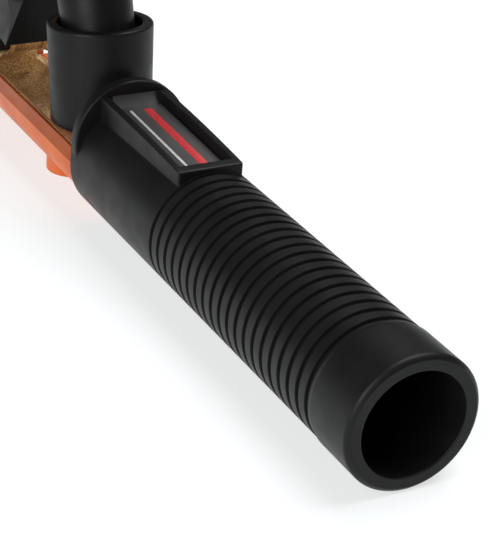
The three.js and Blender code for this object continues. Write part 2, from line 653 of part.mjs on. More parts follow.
// An orange boot over a jaw: `way` is +1 for the upper jaw and -1 for the lower one.
function makeJawInsulator(way, end) {
  const wall = INSULATOR_WALL;
  const outerHalf = JAW.halfWidth + GAP + wall;
  const lip = JAW.meet + way * 5.2;
  const outerEnd = end + way * (GAP + wall);
  const nose = JAW.front + GAP + wall;
  const rear = way > 0 ? 256.6 : SHELL_FRONT + 0.6;
  const side = shapeOf([[rear, lip], [nose, lip], [nose, outerEnd - way * 6], [nose - 5, outerEnd],
    [rear, outerEnd]]);
  const section = new THREE.Shape();
  const round = 4;
  section.moveTo(-outerHalf, lip);
  section.lineTo(-outerHalf, outerEnd - way * round);
  section.quadraticCurveTo(-outerHalf, outerEnd, -outerHalf + round, outerEnd);
  section.lineTo(outerHalf - round, outerEnd);
  section.quadraticCurveTo(outerHalf, outerEnd, outerHalf, outerEnd - way * round);
  section.lineTo(outerHalf, lip);
  const outside = acrossY(side, [-20, 20]).intersect(alongX(section, [rear - 1, nose + 1], 6));
  const z = [JAW.meet, end + way * GAP].sort((a, b) => a - b);
  const cavity = box([rear - 1, JAW.front + GAP], [-JAW.halfWidth - GAP, JAW.halfWidth + GAP], z);
  const screwHoles = JAW_SCREWS_X.map((x) => discUp(SCREW_R + GAP, [-40, 60], x));
  return cut(outside, cavity, ...screwHoles);
}

place('upper_jaw_insulator', makeJawInsulator(1, JAW.high), orangePlastic);
place('lower_jaw_insulator', makeJawInsulator(-1, JAW.low), orangePlastic);

JAW_SCREWS_X.forEach((x, i) => {
  const seat = GAP + INSULATOR_WALL + GAP + SCREW_HEAD_H;
  place(`upper_jaw_screw_${i + 1}`, makeScrew(x, JAW.high + seat, JAW_SCREW_LENGTH, -1), steel);
  place(`lower_jaw_screw_${i + 1}`, makeScrew(x, JAW.low - seat, JAW_SCREW_LENGTH, 1), steel);
});

export default holder;
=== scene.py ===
"""A spring-lever welding electrode holder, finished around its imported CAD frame.

The handle's axis lies along X: its rear mouth is at x = 0, the jaws are at +X, and +Z is up.
Shapes are worked out in millimetres and written to Blender in metres.
"""

import math

import bmesh
import bpy
from mathutils import Matrix, Vector


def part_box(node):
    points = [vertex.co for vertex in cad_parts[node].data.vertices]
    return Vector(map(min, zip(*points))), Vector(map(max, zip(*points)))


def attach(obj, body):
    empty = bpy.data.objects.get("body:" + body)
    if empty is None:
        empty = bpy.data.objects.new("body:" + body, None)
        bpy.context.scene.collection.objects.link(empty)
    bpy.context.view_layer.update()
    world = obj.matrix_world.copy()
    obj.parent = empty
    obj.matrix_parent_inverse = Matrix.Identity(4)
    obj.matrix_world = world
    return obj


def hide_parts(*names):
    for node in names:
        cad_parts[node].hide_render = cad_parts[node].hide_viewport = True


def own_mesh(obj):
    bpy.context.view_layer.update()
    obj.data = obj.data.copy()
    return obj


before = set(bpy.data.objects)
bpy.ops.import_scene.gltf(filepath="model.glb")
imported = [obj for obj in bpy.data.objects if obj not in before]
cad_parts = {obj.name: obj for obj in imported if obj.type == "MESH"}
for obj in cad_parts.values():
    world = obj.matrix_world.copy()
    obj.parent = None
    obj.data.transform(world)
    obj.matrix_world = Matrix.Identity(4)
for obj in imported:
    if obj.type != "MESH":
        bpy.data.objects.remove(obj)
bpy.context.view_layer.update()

MM = 0.001
UP = Vector((0, 0, 1))
ACROSS = Vector((0, 1, 0))
HOLDER = "holder_body"
LEVER = "lever_arm"

# ---------------------------------------------------------------- sizes and places, in millimetres


def corners(node):
    """A CAD node's lowest and highest corners."""
    low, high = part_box(node)
    return low / MM, high / MM


def leaning(degrees):
    """An axis that leans forward from straight up."""
    angle = math.radians(degrees)
    return Vector((math.sin(angle), 0, math.cos(angle)))


HANDLE_LOW, HANDLE_HIGH = corners("handle")
LABEL_LOW, LABEL_HIGH = corners("label_plate")
PIN_LOW, PIN_HIGH = corners("hinge_pin")
PIN = (PIN_LOW + PIN_HIGH) / 2

# handle
HANDLE_LENGTH = HANDLE_HIGH.x
COLLAR_R = -HANDLE_LOW.z
HANDLE_R = COLLAR_R - 0.3
BORE_R = 13.8
COLLAR_LENGTH = 17.4
COLLAR_STEP = 1.2  # how far back from its front end the collar begins to narrow
REAR_ROUND = 1.4
REAR_RING_R = 16.6  # the outer edge of the flat ring round the mouth
MOUTH_ROUND = 0.3
GROOVES = 20
GROOVE_FIRST = 18.75
GROOVE_PITCH = 4.44
GROOVE_DEPTH = 0.85
GROOVE_HALF = 0.88
GROOVE_FLOOR_HALF = 0.6
FLANGE_THICK = 3.7
FLANGE_REAR = HANDLE_LENGTH - FLANGE_THICK
FLANGE_RISE = HANDLE_HIGH.z - HANDLE_R  # from the handle's axis up to the flange's own
FLANGE_ROUND = 0.6

# label box: its half width and the height of its top are given at its rear and at its front
LABEL_BOX_REAR = 104.2
LABEL_BOX_FRONT = 156.5
LABEL_BOX_HALF = (9.55, 10.2)
LABEL_BOX_TOP = (18.7, 20.7)
LABEL_BOX_ROUND = 0.6

# label plate, and the pocket that it lies in
LABEL_THICK = 0.8
LABEL_SLOPE = (LABEL_HIGH.z - LABEL_LOW.z - LABEL_THICK) / (LABEL_HIGH.x - LABEL_LOW.x)
POCKET_MARGIN = 0.3
POCKET_HALF = LABEL_HIGH.y + POCKET_MARGIN
POCKET_REAR = LABEL_LOW.x - POCKET_MARGIN
POCKET_FRONT = LABEL_HIGH.x + POCKET_MARGIN
POCKET_CORNER = 1.2

# how finely the handle's skin is divided
REAR_STATIONS = (0, 0.02, 0.2, 0.45, 0.75, 1.1, REAR_ROUND, 1.5, 3.5, 6, 11)
STEP_RUN = 0.003  # the run of an upright step in the skin
CORNER_TURN = 0.035  # radians on each side of the label box's edge that its rounding takes
POCKET_COLUMNS = 8  # from the middle of the pocket's floor to the top of its wall

# label bars
BAR_END_MARGIN = 4.5
INK_SINK = 0.05
INK_RISE = 0.04

# cup and cap, each about its own leaning axis
CUP_AXIS = leaning(5.35)
CUP_X = 175.4
CUP_R = 14.87
CUP_WALL = 1.9
CUP_START = 3.0  # wholly under the foot, where the cup is cut level
CUP_TOP = 33.5
CUP_FLOOR = 7.1
CUP_FOOT = corners("spring_cup")[0].z
LEVER_AXIS = leaning(23.3)
CAP_BASE = Vector((180.3, 0, 33.2))
CAP_R = 10.15
CAP_TAPER = 0.5
CAP_WALL = 1.7
CAP_LOW = -6.2
CAP_CROWN = 1.5
CAP_HOLE_R = 2.5
BAR_LOW = 14.3  # the underside of the lever's bar, up LEVER_AXIS from the pin
GAP = 0.3  # what the cap leaves free to the bar, and to the spring

# spring and washer
COIL_R = 5.6
WIRE_R = 1.15
COIL_TURNS = 7
COIL_STEPS = 40
WIRE_SIDES = 14
WASHER_THICK = 0.4
WASHER_LOW = CUP_FLOOR + 0.4
WASHER_HIGH = WASHER_LOW + WASHER_THICK
WASHER_HOLE_R = 4.8
WASHER_R = 8.4

# lower arm
RIM_TOP = 4.6
FOOT_X = 196.4  # the middle of the foot that the floor touches

# floor and light
FLOOR_HALF = 4000
FLOOR_GAP = 0.05
FLOOR_GLOW = 0.65
WORLD_STRENGTH = 0.12
LIGHT_TARGET = Vector((120, 0, 0))

# camera
CAMERA_AT = Vector((-285.4, 206.2, 216.1))
CAMERA_YAW = math.radians(-29.276)
CAMERA_PITCH = math.radians(27.252)
CAMERA_ROLL = math.radians(3.979)
CAMERA_LENS = 121.97
CAMERA_SENSOR = 36.0


# ---------------------------------------------------------------- node helpers


class Looks:
    """A material under construction, with short ways to add the usual nodes."""

    def __init__(self, name, base, roughness, metallic=0.0, specular=0.5):
        self.material = bpy.data.materials.new(name)
        self.material.use_nodes = True
        self.material.diffuse_color = (*base, 1)
        self.nodes = self.material.node_tree.nodes
        self.links = self.material.node_tree.links
        self.shader = self.nodes["Principled BSDF"]
        self.shader.inputs["Base Color"].default_value = (*base, 1)
        self.shader.inputs["Roughness"].default_value = roughness
        self.shader.inputs["Metallic"].default_value = metallic
        self.shader.inputs["Specular IOR Level"].default_value = specular
        self.place = self.nodes.new("ShaderNodeTexCoord").outputs["Object"]
        self.normal = None

    def stretched(self, scale):
        mapping = self.nodes.new("ShaderNodeMapping")
        mapping.inputs["Scale"].default_value = scale
        self.links.new(self.place, mapping.inputs["Vector"])
        return mapping.outputs["Vector"]

    def noise(self, size_mm, detail=3.0, place=None, distortion=0.0):
        node = self.nodes.new("ShaderNodeTexNoise")
        node.inputs["Scale"].default_value = 1 / (size_mm * MM)
        node.inputs["Detail"].default_value = detail
        node.inputs["Distortion"].default_value = distortion
        self.links.new(place or self.place, node.inputs["Vector"])
        return node.outputs["Fac"]

    def pits(self, size_mm):
        node = self.nodes.new("ShaderNodeTexVoronoi")
        node.inputs["Scale"].default_value = 1 / (size_mm * MM)
        self.links.new(self.place, node.inputs["Vector"])
        return node.outputs["Distance"]

    def ramp(self, factor, stops):
        node = self.nodes.new("ShaderNodeValToRGB")
        elements = node.color_ramp.elements
        while len(elements) < len(stops):
            elements.new(0.5)
        for element, (at, colour) in zip(elements, stops):
            element.position = at
            element.color = (*colour, 1)
        self.links.new(factor, node.inputs["Fac"])
        return node.outputs["Color"]

    def between(self, factor, low, high, start=0.3, end=0.7):
        node = self.nodes.new("ShaderNodeMapRange")
        node.inputs["From Min"].default_value = start
        node.inputs["From Max"].default_value = end
        node.inputs["To Min"].default_value = low
        node.inputs["To Max"].default_value = high
        self.links.new(factor, node.inputs["Value"])
        return node.outputs["Result"]

    def mix(self, factor, first, second):
        node = self.nodes.new("ShaderNodeMix")
        node.data_type = "RGBA"
        self.links.new(factor, node.inputs["Factor"])
        self.links.new(first, node.inputs["A"])
        self.links.new(second, node.inputs["B"])
        return node.outputs["Result"]

    def colour(self, socket):
        self.links.new(socket, self.shader.inputs["Base Color"])

    def roughness(self, socket):
        self.links.new(socket, self.shader.inputs["Roughness"])

    def bump(self, height, depth_mm):
        node = self.nodes.new("ShaderNodeBump")
        node.inputs["Distance"].default_value = depth_mm * MM
        self.links.new(height, node.inputs["Height"])
        if self.normal:
            self.links.new(self.normal, node.inputs["Normal"])
        self.normal = node.outputs["Normal"]
        self.links.new(self.normal, self.shader.inputs["Normal"])


# ---------------------------------------------------------------- materials


def moulded_plastic(name, dark, light, roughness, specular):
    """Satin glass-filled plastic, faintly clouded, with a fine spark-eroded grain."""
    looks = Looks(name, light, roughness, specular=specular)
    cloud = looks.noise(14, detail=4)
    looks.colour(looks.ramp(cloud, [(0.35, dark), (0.65, light)]))
    looks.roughness(looks.between(looks.noise(5, detail=4), roughness - 0.05, roughness + 0.05))
    looks.bump(looks.noise(30, detail=1), 0.05)
    looks.bump(looks.noise(0.35, detail=2), 0.012)
    return looks.material


def cast_brass(name, dark, light, tarnish, roughness, pit_mm):
    """Cast and blasted brass: a grainy skin, small pits, and brown tarnish in patches."""
    looks = Looks(name, light, roughness, metallic=1.0)
    speckle = looks.noise(0.6, detail=5)
    patches = looks.noise(9, detail=4, distortion=0.4)
    metal = looks.ramp(speckle, [(0.38, dark), (0.62, light)])
    stain = looks.ramp(speckle, [(0.35, tarnish), (0.7, dark)])
    looks.colour(looks.mix(looks.between(patches, 0.0, 0.55, 0.45, 0.70), metal, stain))
    looks.roughness(looks.between(speckle, roughness - 0.08, roughness + 0.12))
    looks.bump(looks.noise(3.5, detail=3), 0.06)
    looks.bump(looks.pits(pit_mm), 0.05)
    return looks.material


def bright_edge(name, colour, roughness, metallic):
    """Metal rubbed bright along its edges, with fine scratches."""
    looks = Looks(name, colour, roughness, metallic=metallic)
    scratch = looks.noise(1, detail=3, place=looks.stretched((0.2, 2.0, 2.0)))
    looks.roughness(looks.between(scratch, roughness - 0.08, roughness + 0.14))
    looks.bump(scratch, 0.01)
    return looks.material


def zinc_steel():
    """Zinc-plated steel: a little uneven, with a faint warm passivation."""
    looks = Looks("zinc_steel", (0.55, 0.55, 0.54), 0.34, metallic=1.0)
    patches = looks.noise(2.5, detail=3)
    looks.colour(looks.ramp(patches, [(0.35, (0.42, 0.42, 0.42)), (0.65, (0.62, 0.61, 0.57))]))
    looks.roughness(looks.between(looks.noise(0.8), 0.26, 0.46))
    looks.bump(looks.noise(0.4), 0.008)
    return looks.material


def fibre_laminate():
    """Brown vulcanised fibre, its fibres drawn along its length."""
    looks = Looks("fibre_laminate", (0.40, 0.10, 0.012), 0.38, specular=0.12)
    fibres = looks.noise(1.4, detail=5, place=looks.stretched((0.12, 1.0, 1.0)))
    patches = looks.noise(10, detail=3)
    brown = looks.ramp(fibres, [(0.3, (0.28, 0.046, 0.003)), (0.7, (0.34, 0.062, 0.006))])
    rust = looks.ramp(fibres, [(0.3, (0.30, 0.058, 0.007)), (0.7, (0.37, 0.084, 0.015))])
    looks.colour(looks.mix(looks.between(patches, 0.0, 1.0, 0.4, 0.62), brown, rust))
    looks.roughness(looks.between(fibres, 0.30, 0.48))
    looks.bump(fibres, 0.02)
    return looks.material


def brown_rim_tops():
    """A brown, less metallic copy of the brass, given to the flat tops of the trough's rims, with
    a grain drawn along them.
    """
    looks = Looks("brown_rim_tops", (0.34, 0.13, 0.05), 0.42, metallic=0.15)
    grain = looks.noise(1.1, detail=5, place=looks.stretched((0.3, 1.0, 1.0)))
    looks.colour(looks.ramp(grain, [(0.32, (0.34, 0.12, 0.045)), (0.68, (0.52, 0.22, 0.10))]))
    looks.roughness(looks.between(grain, 0.34, 0.55))
    looks.bump(grain, 0.03)
    return looks.material


def label_plastic():
    """A smooth dark plate, glossier than the handle around it, its grey far lighter than the black
    of the real plate: a painted reflection of bright surroundings.
    """
    looks = Looks("label_plastic", (0.07, 0.066, 0.065), 0.28)
    cloud = looks.noise(20, detail=2)
    looks.colour(looks.ramp(cloud, [(0.3, (0.060, 0.057, 0.056)), (0.7, (0.080, 0.076, 0.075))]))
    looks.bump(looks.noise(0.5, detail=1), 0.002)
    return looks.material


def print_ink(name, colour):
    """A thin layer of screen-printed ink, slightly mottled."""
    looks = Looks(name, colour, 0.4)
    shade = tuple(0.8 * c for c in colour)
    looks.colour(looks.ramp(looks.noise(0.9, detail=4), [(0.4, shade), (0.6, colour)]))
    looks.bump(looks.noise(0.3), 0.004)
    return looks.material


BLACK = moulded_plastic(
    "black_nylon", dark=(0.0045, 0.0045, 0.0045), light=(0.0070, 0.0070, 0.0070),
    roughness=0.43, specular=0.20)
ORANGE = moulded_plastic(
    "orange_nylon", dark=(0.56, 0.112, 0.024), light=(0.66, 0.150, 0.040),
    roughness=0.38, specular=0.25)
BRASS = cast_brass(
    "blasted_brass", dark=(0.48, 0.33, 0.17), light=(0.90, 0.70, 0.44),
    tarnish=(0.34, 0.18, 0.07), roughness=0.55, pit_mm=0.7)
BRASS_EDGE = bright_edge("brass_edge", (0.90, 0.72, 0.46), roughness=0.30, metallic=0.45)
RIM = brown_rim_tops()
STEEL = zinc_steel()
STEEL_EDGE = bright_edge("steel_edge", (0.72, 0.72, 0.72), roughness=0.25, metallic=1.0)
BRONZE = cast_brass(
    "oiled_bronze", dark=(0.30, 0.17, 0.07), light=(0.46, 0.28, 0.12),
    tarnish=(0.12, 0.07, 0.03), roughness=0.40, pit_mm=0.5)
COPPER = cast_brass(
    "pressed_copper", dark=(0.45, 0.20, 0.10), light=(0.70, 0.34, 0.19),
    tarnish=(0.20, 0.08, 0.05), roughness=0.34, pit_mm=2.0)
FIBRE = fibre_laminate()
# the label plate's grey is a painted reflection; the real plate is black
LABEL = label_plastic()
RED_INK = print_ink("red_ink", (0.55, 0.030, 0.035))
PALE_INK = print_ink("pale_ink", (0.62, 0.62, 0.62))


# ---------------------------------------------------------------- mesh helpers


WELD = 0.002 * MM
SHARP = math.radians(38)
EDGE_ANGLE = math.radians(40)
FLAT_ANGLE = math.radians(0.6)


def new_piece(name, body, materials, nodes=()):
    """An empty object that rides on a body and stands for the CAD nodes it is given."""
    piece = bpy.data.objects.new(name, bpy.data.meshes.new(name))
    bpy.context.scene.collection.objects.link(piece)
    for material in materials:
        piece.data.materials.append(material)
    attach(piece, body)
    if nodes:
        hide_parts(*nodes)
    return piece


def band(here, there, count):
    """The faces between two closed rings of points, given where each ring starts."""
    following = [(i + 1) % count for i in range(count)]
    return [[here + i, here + j, there + j, there + i] for i, j in enumerate(following)]


def fill(piece, points, faces, sharp=SHARP):
    """Fills a piece with points and faces, and shades it smooth but for its sharp edges."""
    mesh = piece.data
    mesh.from_pydata([Vector(p) * MM for p in points], [], faces)
    work = bmesh.new()
    work.from_mesh(mesh)
    bmesh.ops.remove_doubles(work, verts=work.verts, dist=WELD)
    bmesh.ops.recalc_face_normals(work, faces=work.faces)
    work.to_mesh(mesh)
    work.free()
    mesh.shade_smooth()
    mesh.set_sharp_from_angle(angle=sharp)
    mesh.update()


def softened(outline, steps=5):
    """The points of an outline of (radius, height, fillet) corners, with each corner rounded."""
    longest = 0.48  # the most of a side that one fillet takes
    points = []
    for i, (r, h, fillet) in enumerate(outline):
        here = Vector((r, h))
        before = Vector(outline[i - 1][:2]) - here
        after = Vector(outline[(i + 1) % len(outline)][:2]) - here
        if fillet <= 0:
            points.append(here)
            continue
        half = before.angle(after) / 2
        reach = min(fillet / math.tan(half), longest * before.length, longest * after.length)
        radius = reach * math.tan(half)
        bisector = (before.normalized() + after.normalized()).normalized()
        centre = here + bisector * (radius / math.sin(half))
        start = here + before.normalized() * reach - centre
        end = here + after.normalized() * reach - centre
        for k in range(steps + 1):
            swing = start.slerp(end, k / steps) if start.angle(end) > 1e-3 else start
            points.append(centre + swing)
    return points


def turned(piece, outline, origin, axis, segments):
    """Turns a closed outline of (radius, height) points about an axis through origin."""
    third = axis.cross(ACROSS).normalized()
    points = []
    for k in range(segments):
        angle = 2 * math.pi * k / segments
        spoke = ACROSS * math.cos(angle) + third * math.sin(angle)
        points += [Vector(origin) + axis * h + spoke * r for r, h in outline]
    count = len(outline)
    faces = []
    for k in range(segments):
        here, there = k * count, (k + 1) % segments * count
        for i in range(count):
            j = (i + 1) % count
            # a point on the axis is the same one in every segment
            face = [here + i, here + j] + [there + n for n in (j, i) if outline[n][0] > 1e-6]
            if len(face) > 2:
                faces.append(face)
    fill(piece, points, faces)


def from_cad(name, node, body, materials, width_mm, edge=None):
    """A copy of a CAD node with its flat faces merged and its edges rounded.

    The rounded edges take the material at index `edge`, where one is given.
    """
    piece = new_piece(name, body, materials, [node])
    work = bmesh.new()
    work.from_mesh(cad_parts[node].data)
    bmesh.ops.remove_doubles(work, verts=work.verts, dist=WELD)
    bmesh.ops.dissolve_limit(work, angle_limit=FLAT_ANGLE, verts=work.verts, edges=work.edges)
    for face in work.faces:
        face.material_index = 0
    work.to_mesh(piece.data)
    work.free()
    piece.data.shade_smooth()
    bevel = piece.modifiers.new("rounded_edges", "BEVEL")
    bevel.width = width_mm * MM
    bevel.segments = 3
    bevel.limit_method = "ANGLE"
    bevel.angle_limit = EDGE_ANGLE
    bevel.harden_normals = True
    bevel.miter_outer = "MITER_ARC"
    if edge is not None:
        bevel.material = edge
    return piece


def smooth(value, start, end):
    """0 before start, 1 after end, and an even curve between them."""
    t = min(max((value - start) / (end - start), 0.0), 1.0)
    return t * t * (3 - 2 * t)


# ---------------------------------------------------------------- handle


def round_min(a, b, blend):
    """The smaller of two lengths, with the crossing rounded off."""
    h = max(blend - abs(a - b), 0.0) / blend
    return min(a, b) - h * h * blend / 4


def mixed(ends, t):
    return ends[0] + (ends[1] - ends[0]) * t


def label_box(x):
    """The label box's half width and the height of its top, which rises and then levels off."""
    t = min(max((x - LABEL_BOX_REAR) / (LABEL_BOX_FRONT - LABEL_BOX_REAR), 0.0), 1.0)
    return mixed(LABEL_BOX_HALF, t), mixed(LABEL_BOX_TOP, 1 - (1 - t) ** 2)


def rounded_off(distance, radius):
    """How far a rounded edge lies below its corner, at a distance in from that corner."""
    rise = 1 - min(max(distance, 0.0) / radius, 1.0)
    return radius * (1 - math.sqrt(max(1 - rise * rise, 0.0)))


def rounding(radius, steps):
    """Distances in from a corner, at even turns of its rounding."""
    return [radius * (1 - math.cos(math.pi * k / (2 * steps))) for k in range(1, steps + 1)]


def label_box_radius(x, sine, cosine):
    """How far the label box's outside is from the handle's axis, along a spoke."""
    half, top = label_box(x)
    inset = rounded_off(x - LABEL_BOX_REAR, LABEL_BOX_ROUND)
    return round_min((top - inset) / cosine, (half - inset) / max(sine, 1e-6), LABEL_BOX_ROUND)


def handle_radius(x, angle):
    """How far the handle's skin is from its axis, at an angle from straight up."""
    collar = 1 - smooth(x, COLLAR_LENGTH - COLLAR_STEP, COLLAR_LENGTH + 0.2)
    skin = HANDLE_R + (COLLAR_R - HANDLE_R) * collar
    if x < REAR_ROUND:
        skin -= (COLLAR_R - REAR_RING_R) * (1 - x / REAR_ROUND) ** 2
    for i in range(GROOVES):
        away = abs(x - GROOVE_FIRST - i * GROOVE_PITCH)
        if away < GROOVE_HALF:
            skin -= GROOVE_DEPTH * smooth(GROOVE_HALF - away, 0.0, GROOVE_HALF - GROOVE_FLOOR_HALF)
    sine, cosine = abs(math.sin(angle)), math.cos(angle)
    if cosine > 0.5 and x > LABEL_BOX_REAR:
        skin = max(skin, label_box_radius(x, sine, cosine))
    if x > FLANGE_REAR:
        flange = FLANGE_RISE * cosine + math.sqrt(HANDLE_R ** 2 - (FLANGE_RISE * sine) ** 2)
        flange -= rounded_off(min(x - FLANGE_REAR, HANDLE_LENGTH - x), FLANGE_ROUND)
        skin = max(skin, flange)
    return skin


def handle_stations():
    """Places along the handle, each with whether the label's pocket is open there."""
    wall = GROOVE_HALF - GROOVE_FLOOR_HALF
    across = [0.0, GROOVE_FLOOR_HALF - 0.08]
    across += [GROOVE_FLOOR_HALF + wall * k / 5 for k in range(6)]
    across += [GROOVE_HALF + 0.04, GROOVE_HALF + 0.15]
    grooves = [GROOVE_FIRST + GROOVE_PITCH * i for i in range(GROOVES)]
    closed = list(REAR_STATIONS)
    closed += [COLLAR_LENGTH - COLLAR_STEP * k / 3 for k in range(4)]
    closed += [groove + side * away for groove in grooves for away in across for side in (-1, 1)]
    closed += [LABEL_BOX_REAR - 0.05, LABEL_BOX_REAR, LABEL_BOX_REAR + STEP_RUN]
    closed += [LABEL_BOX_REAR + away for away in rounding(LABEL_BOX_ROUND, 6)]
    closed += [POCKET_REAR - 0.06, POCKET_REAR, POCKET_FRONT, POCKET_FRONT + 0.06]
    closed += [FLANGE_REAR - 0.02, FLANGE_REAR + STEP_RUN]
    closed += [FLANGE_REAR + away for away in rounding(FLANGE_ROUND, 6)]
    closed += [HANDLE_LENGTH - away for away in [0.0] + rounding(FLANGE_ROUND, 6)]
    opened = [POCKET_REAR + away for away in [0.004] + rounding(POCKET_CORNER, 7)]
    opened += [POCKET_REAR + (POCKET_FRONT - POCKET_REAR) * k / 12 for k in range(1, 12)]
    opened += [POCKET_FRONT - STEP_RUN]
    stations = {(round(x, 4), False) for x in closed} | {(round(x, 4), True) for x in opened}
    return sorted(stations)


def handle_angles(x):
    """Angles from straight up, from the middle of the box's top round to the underside."""
    half, top = label_box(x)
    corner = math.atan(half / top)
    stretches = [
        (math.atan(POCKET_HALF / top), POCKET_COLUMNS - 1),
        (math.atan((POCKET_HALF + 0.25) / top), 1),
        (corner - CORNER_TURN, 2),
        (corner + CORNER_TURN, 12),
        (math.asin(half / HANDLE_R) + 0.004, 6),
        (math.pi, 72),
    ]
    angles = [0.0]
    for end, steps in stretches:
        start = angles[-1]
        angles += [start + (end - start) * k / steps for k in range(1, steps + 1)]
    return angles


def pocket_point(x, column):
    """A point of the label pocket's floor or wall, as (side, height)."""
    top = label_box(x)[1]
    floor = LABEL_LOW.z - POCKET_MARGIN + LABEL_SLOPE * (x - LABEL_LOW.x)
    half = POCKET_HALF - rounded_off(x - POCKET_REAR, POCKET_CORNER)
    floor_columns = POCKET_COLUMNS - 3
    if column <= floor_columns:
        return half * column / floor_columns, floor
    if column == floor_columns + 1:
        return half, floor + 0.05
    return half, top - 0.15


def handle_ring(x, opened):
    """One closed ring of the handle's skin, as (side, height) points from the top round by +Y."""
    ring = []
    for column, angle in enumerate(handle_angles(x)):
        if opened and column < POCKET_COLUMNS:
            ring.append(pocket_point(x, column))
        else:
            radius = handle_radius(x, angle)
            ring.append((radius * math.sin(angle), radius * math.cos(angle)))
    return ring + [(-y, z) for y, z in reversed(ring[1:-1])]


def handle_inside():
    """(place, radius) points from the bore's front mouth back to the rim of the rear one."""
    mouth_r = BORE_R + MOUTH_ROUND
    outline = [(HANDLE_LENGTH, mouth_r), (HANDLE_LENGTH - MOUTH_ROUND, BORE_R)]
    outline += [(HANDLE_LENGTH * k / 4, BORE_R) for k in (3, 2, 1)]
    outline += [(MOUTH_ROUND + 0.05, BORE_R), (MOUTH_ROUND, BORE_R)]
    outline += [(MOUTH_ROUND * 0.3, BORE_R + MOUTH_ROUND * 0.3), (0, mouth_r)]
    outline += [(0, mouth_r + 0.04), (0, REAR_RING_R - 0.04)]
    return outline


def make_handle():
    """The skin from rear to front, and back through the bore, as one closed stack of rings."""
    piece = new_piece("ribbed_handle", HOLDER, [BLACK], ["handle"])
    rings = [[(x, y, z) for y, z in handle_ring(x, opened)] for x, opened in handle_stations()]
    turns = [math.atan2(y, z) for _, y, z in rings[-1]]
    for x, radius in handle_inside():
        rings.append([(x, radius * math.sin(a), radius * math.cos(a)) for a in turns])
    count = len(turns)
    faces = []
    for k in range(len(rings)):
        faces += band(k * count, (k + 1) % len(rings) * count, count)
    points = [point for ring in rings for point in ring]
    fill(piece, points, faces, sharp=math.radians(50))


def bar_outline(half_length, half_width, corner):
    """A rounded rectangle, as (x, y) points round its edge."""
    points = []
    for quarter, (sx, sy) in enumerate(((1, 1), (-1, 1), (-1, -1), (1, -1))):
        for k in range(7):
            angle = math.pi / 2 * (quarter + k / 6)
            points.append((sx * (half_length - corner) + corner * math.cos(angle),
                           sy * (half_width - corner) + corner * math.sin(angle)))
    return points


def sloped_plate(piece, middle, half_length, half_width, corner, low, high, edge):
    """A thin plate along the pocket's floor, with rounded corners and a rounded upper edge."""
    layers = [(0.0, low), (0.0, high - edge), (0.3 * edge, high - 0.3 * edge), (edge, high)]
    points, faces = [], []
    for inset, z in layers:
        ring = bar_outline(half_length - inset, half_width - inset, max(corner - inset, 0.05))
        points += [(middle[0] + x, middle[1] + y, z + LABEL_SLOPE * x) for x, y in ring]
    count = len(ring)
    for layer in range(len(layers) - 1):
        faces += band(layer * count, (layer + 1) * count, count)
    faces.append(list(range(count))[::-1])
    faces.append(list(range(len(points) - count, len(points))))
    fill(piece, points, faces)


def make_label():
    """A smooth plate with two plain printed bars and nothing to read."""
    centre = (LABEL_LOW + LABEL_HIGH) / 2
    half = (LABEL_HIGH - LABEL_LOW) / 2
    low, high = centre.z - LABEL_THICK / 2, centre.z + LABEL_THICK / 2
    plate = new_piece("label_face", HOLDER, [LABEL], ["label_plate"])
    sloped_plate(plate, centre, half.x, half.y, corner=1.0, low=low, high=high, edge=0.15)
    bars = [("label_bar_wide", RED_INK, -2.2, 1.25), ("label_bar_thin", PALE_INK, 3.0, 0.4)]
    for name, ink, y, half_width in bars:
        bar = new_piece(name, HOLDER, [ink])
        sloped_plate(bar, (centre.x, y), half.x - BAR_END_MARGIN, half_width, corner=0.3,
                     low=high - INK_SINK, high=high + INK_RISE, edge=0.02)


# ---------------------------------------------------------------- cup, cap and spring


def make_cup():
    """A cup turned about its leaning axis, its foot cut level with the arm that it stands on."""
    cup = new_piece("spring_cup_shell", HOLDER, [BLACK], ["spring_cup"])
    inner = CUP_R - CUP_WALL
    outline = softened([
        (0, CUP_START, 0), (CUP_R, CUP_START, 0), (CUP_R, CUP_TOP, 0.3),
        (inner, CUP_TOP, 0.3), (inner, CUP_FLOOR, 1.2), (0, CUP_FLOOR, 0),
    ])
    turned(cup, outline, (CUP_X, 0, 0), CUP_AXIS, segments=144)
    work = bmesh.new()
    work.from_mesh(cup.data)
    everything = work.verts[:] + work.edges[:] + work.faces[:]
    cut = bmesh.ops.bisect_plane(
        work, geom=everything, plane_co=(0, 0, CUP_FOOT * MM), plane_no=UP, clear_inner=True)
    edges = [e for e in cut["geom_cut"] if isinstance(e, bmesh.types.BMEdge)]
    bmesh.ops.holes_fill(work, edges=edges, sides=0)
    bmesh.ops.recalc_face_normals(work, faces=work.faces)
    work.to_mesh(cup.data)
    work.free()
    cup.data.set_sharp_from_angle(angle=SHARP)


def cap_top():
    """How far the cap reaches up its own axis, to just under the lever's bar."""
    return BAR_LOW - GAP - (CAP_BASE - PIN).dot(LEVER_AXIS)


def make_cap():
    cap = new_piece("spring_cap_shell", LEVER, [BLACK], ["spring_cap"])
    top = cap_top()
    inner = CAP_R - CAP_WALL
    outline = softened([
        (inner, CAP_LOW, 0.3), (CAP_R, CAP_LOW, 0.6), (CAP_R + CAP_TAPER, top, 0.4),
        (CAP_HOLE_R, top, 0.2), (CAP_HOLE_R, top - CAP_CROWN, 0.2), (inner, top - CAP_CROWN, 1.0),
    ])
    turned(cap, outline, CAP_BASE, LEVER_AXIS, segments=128)


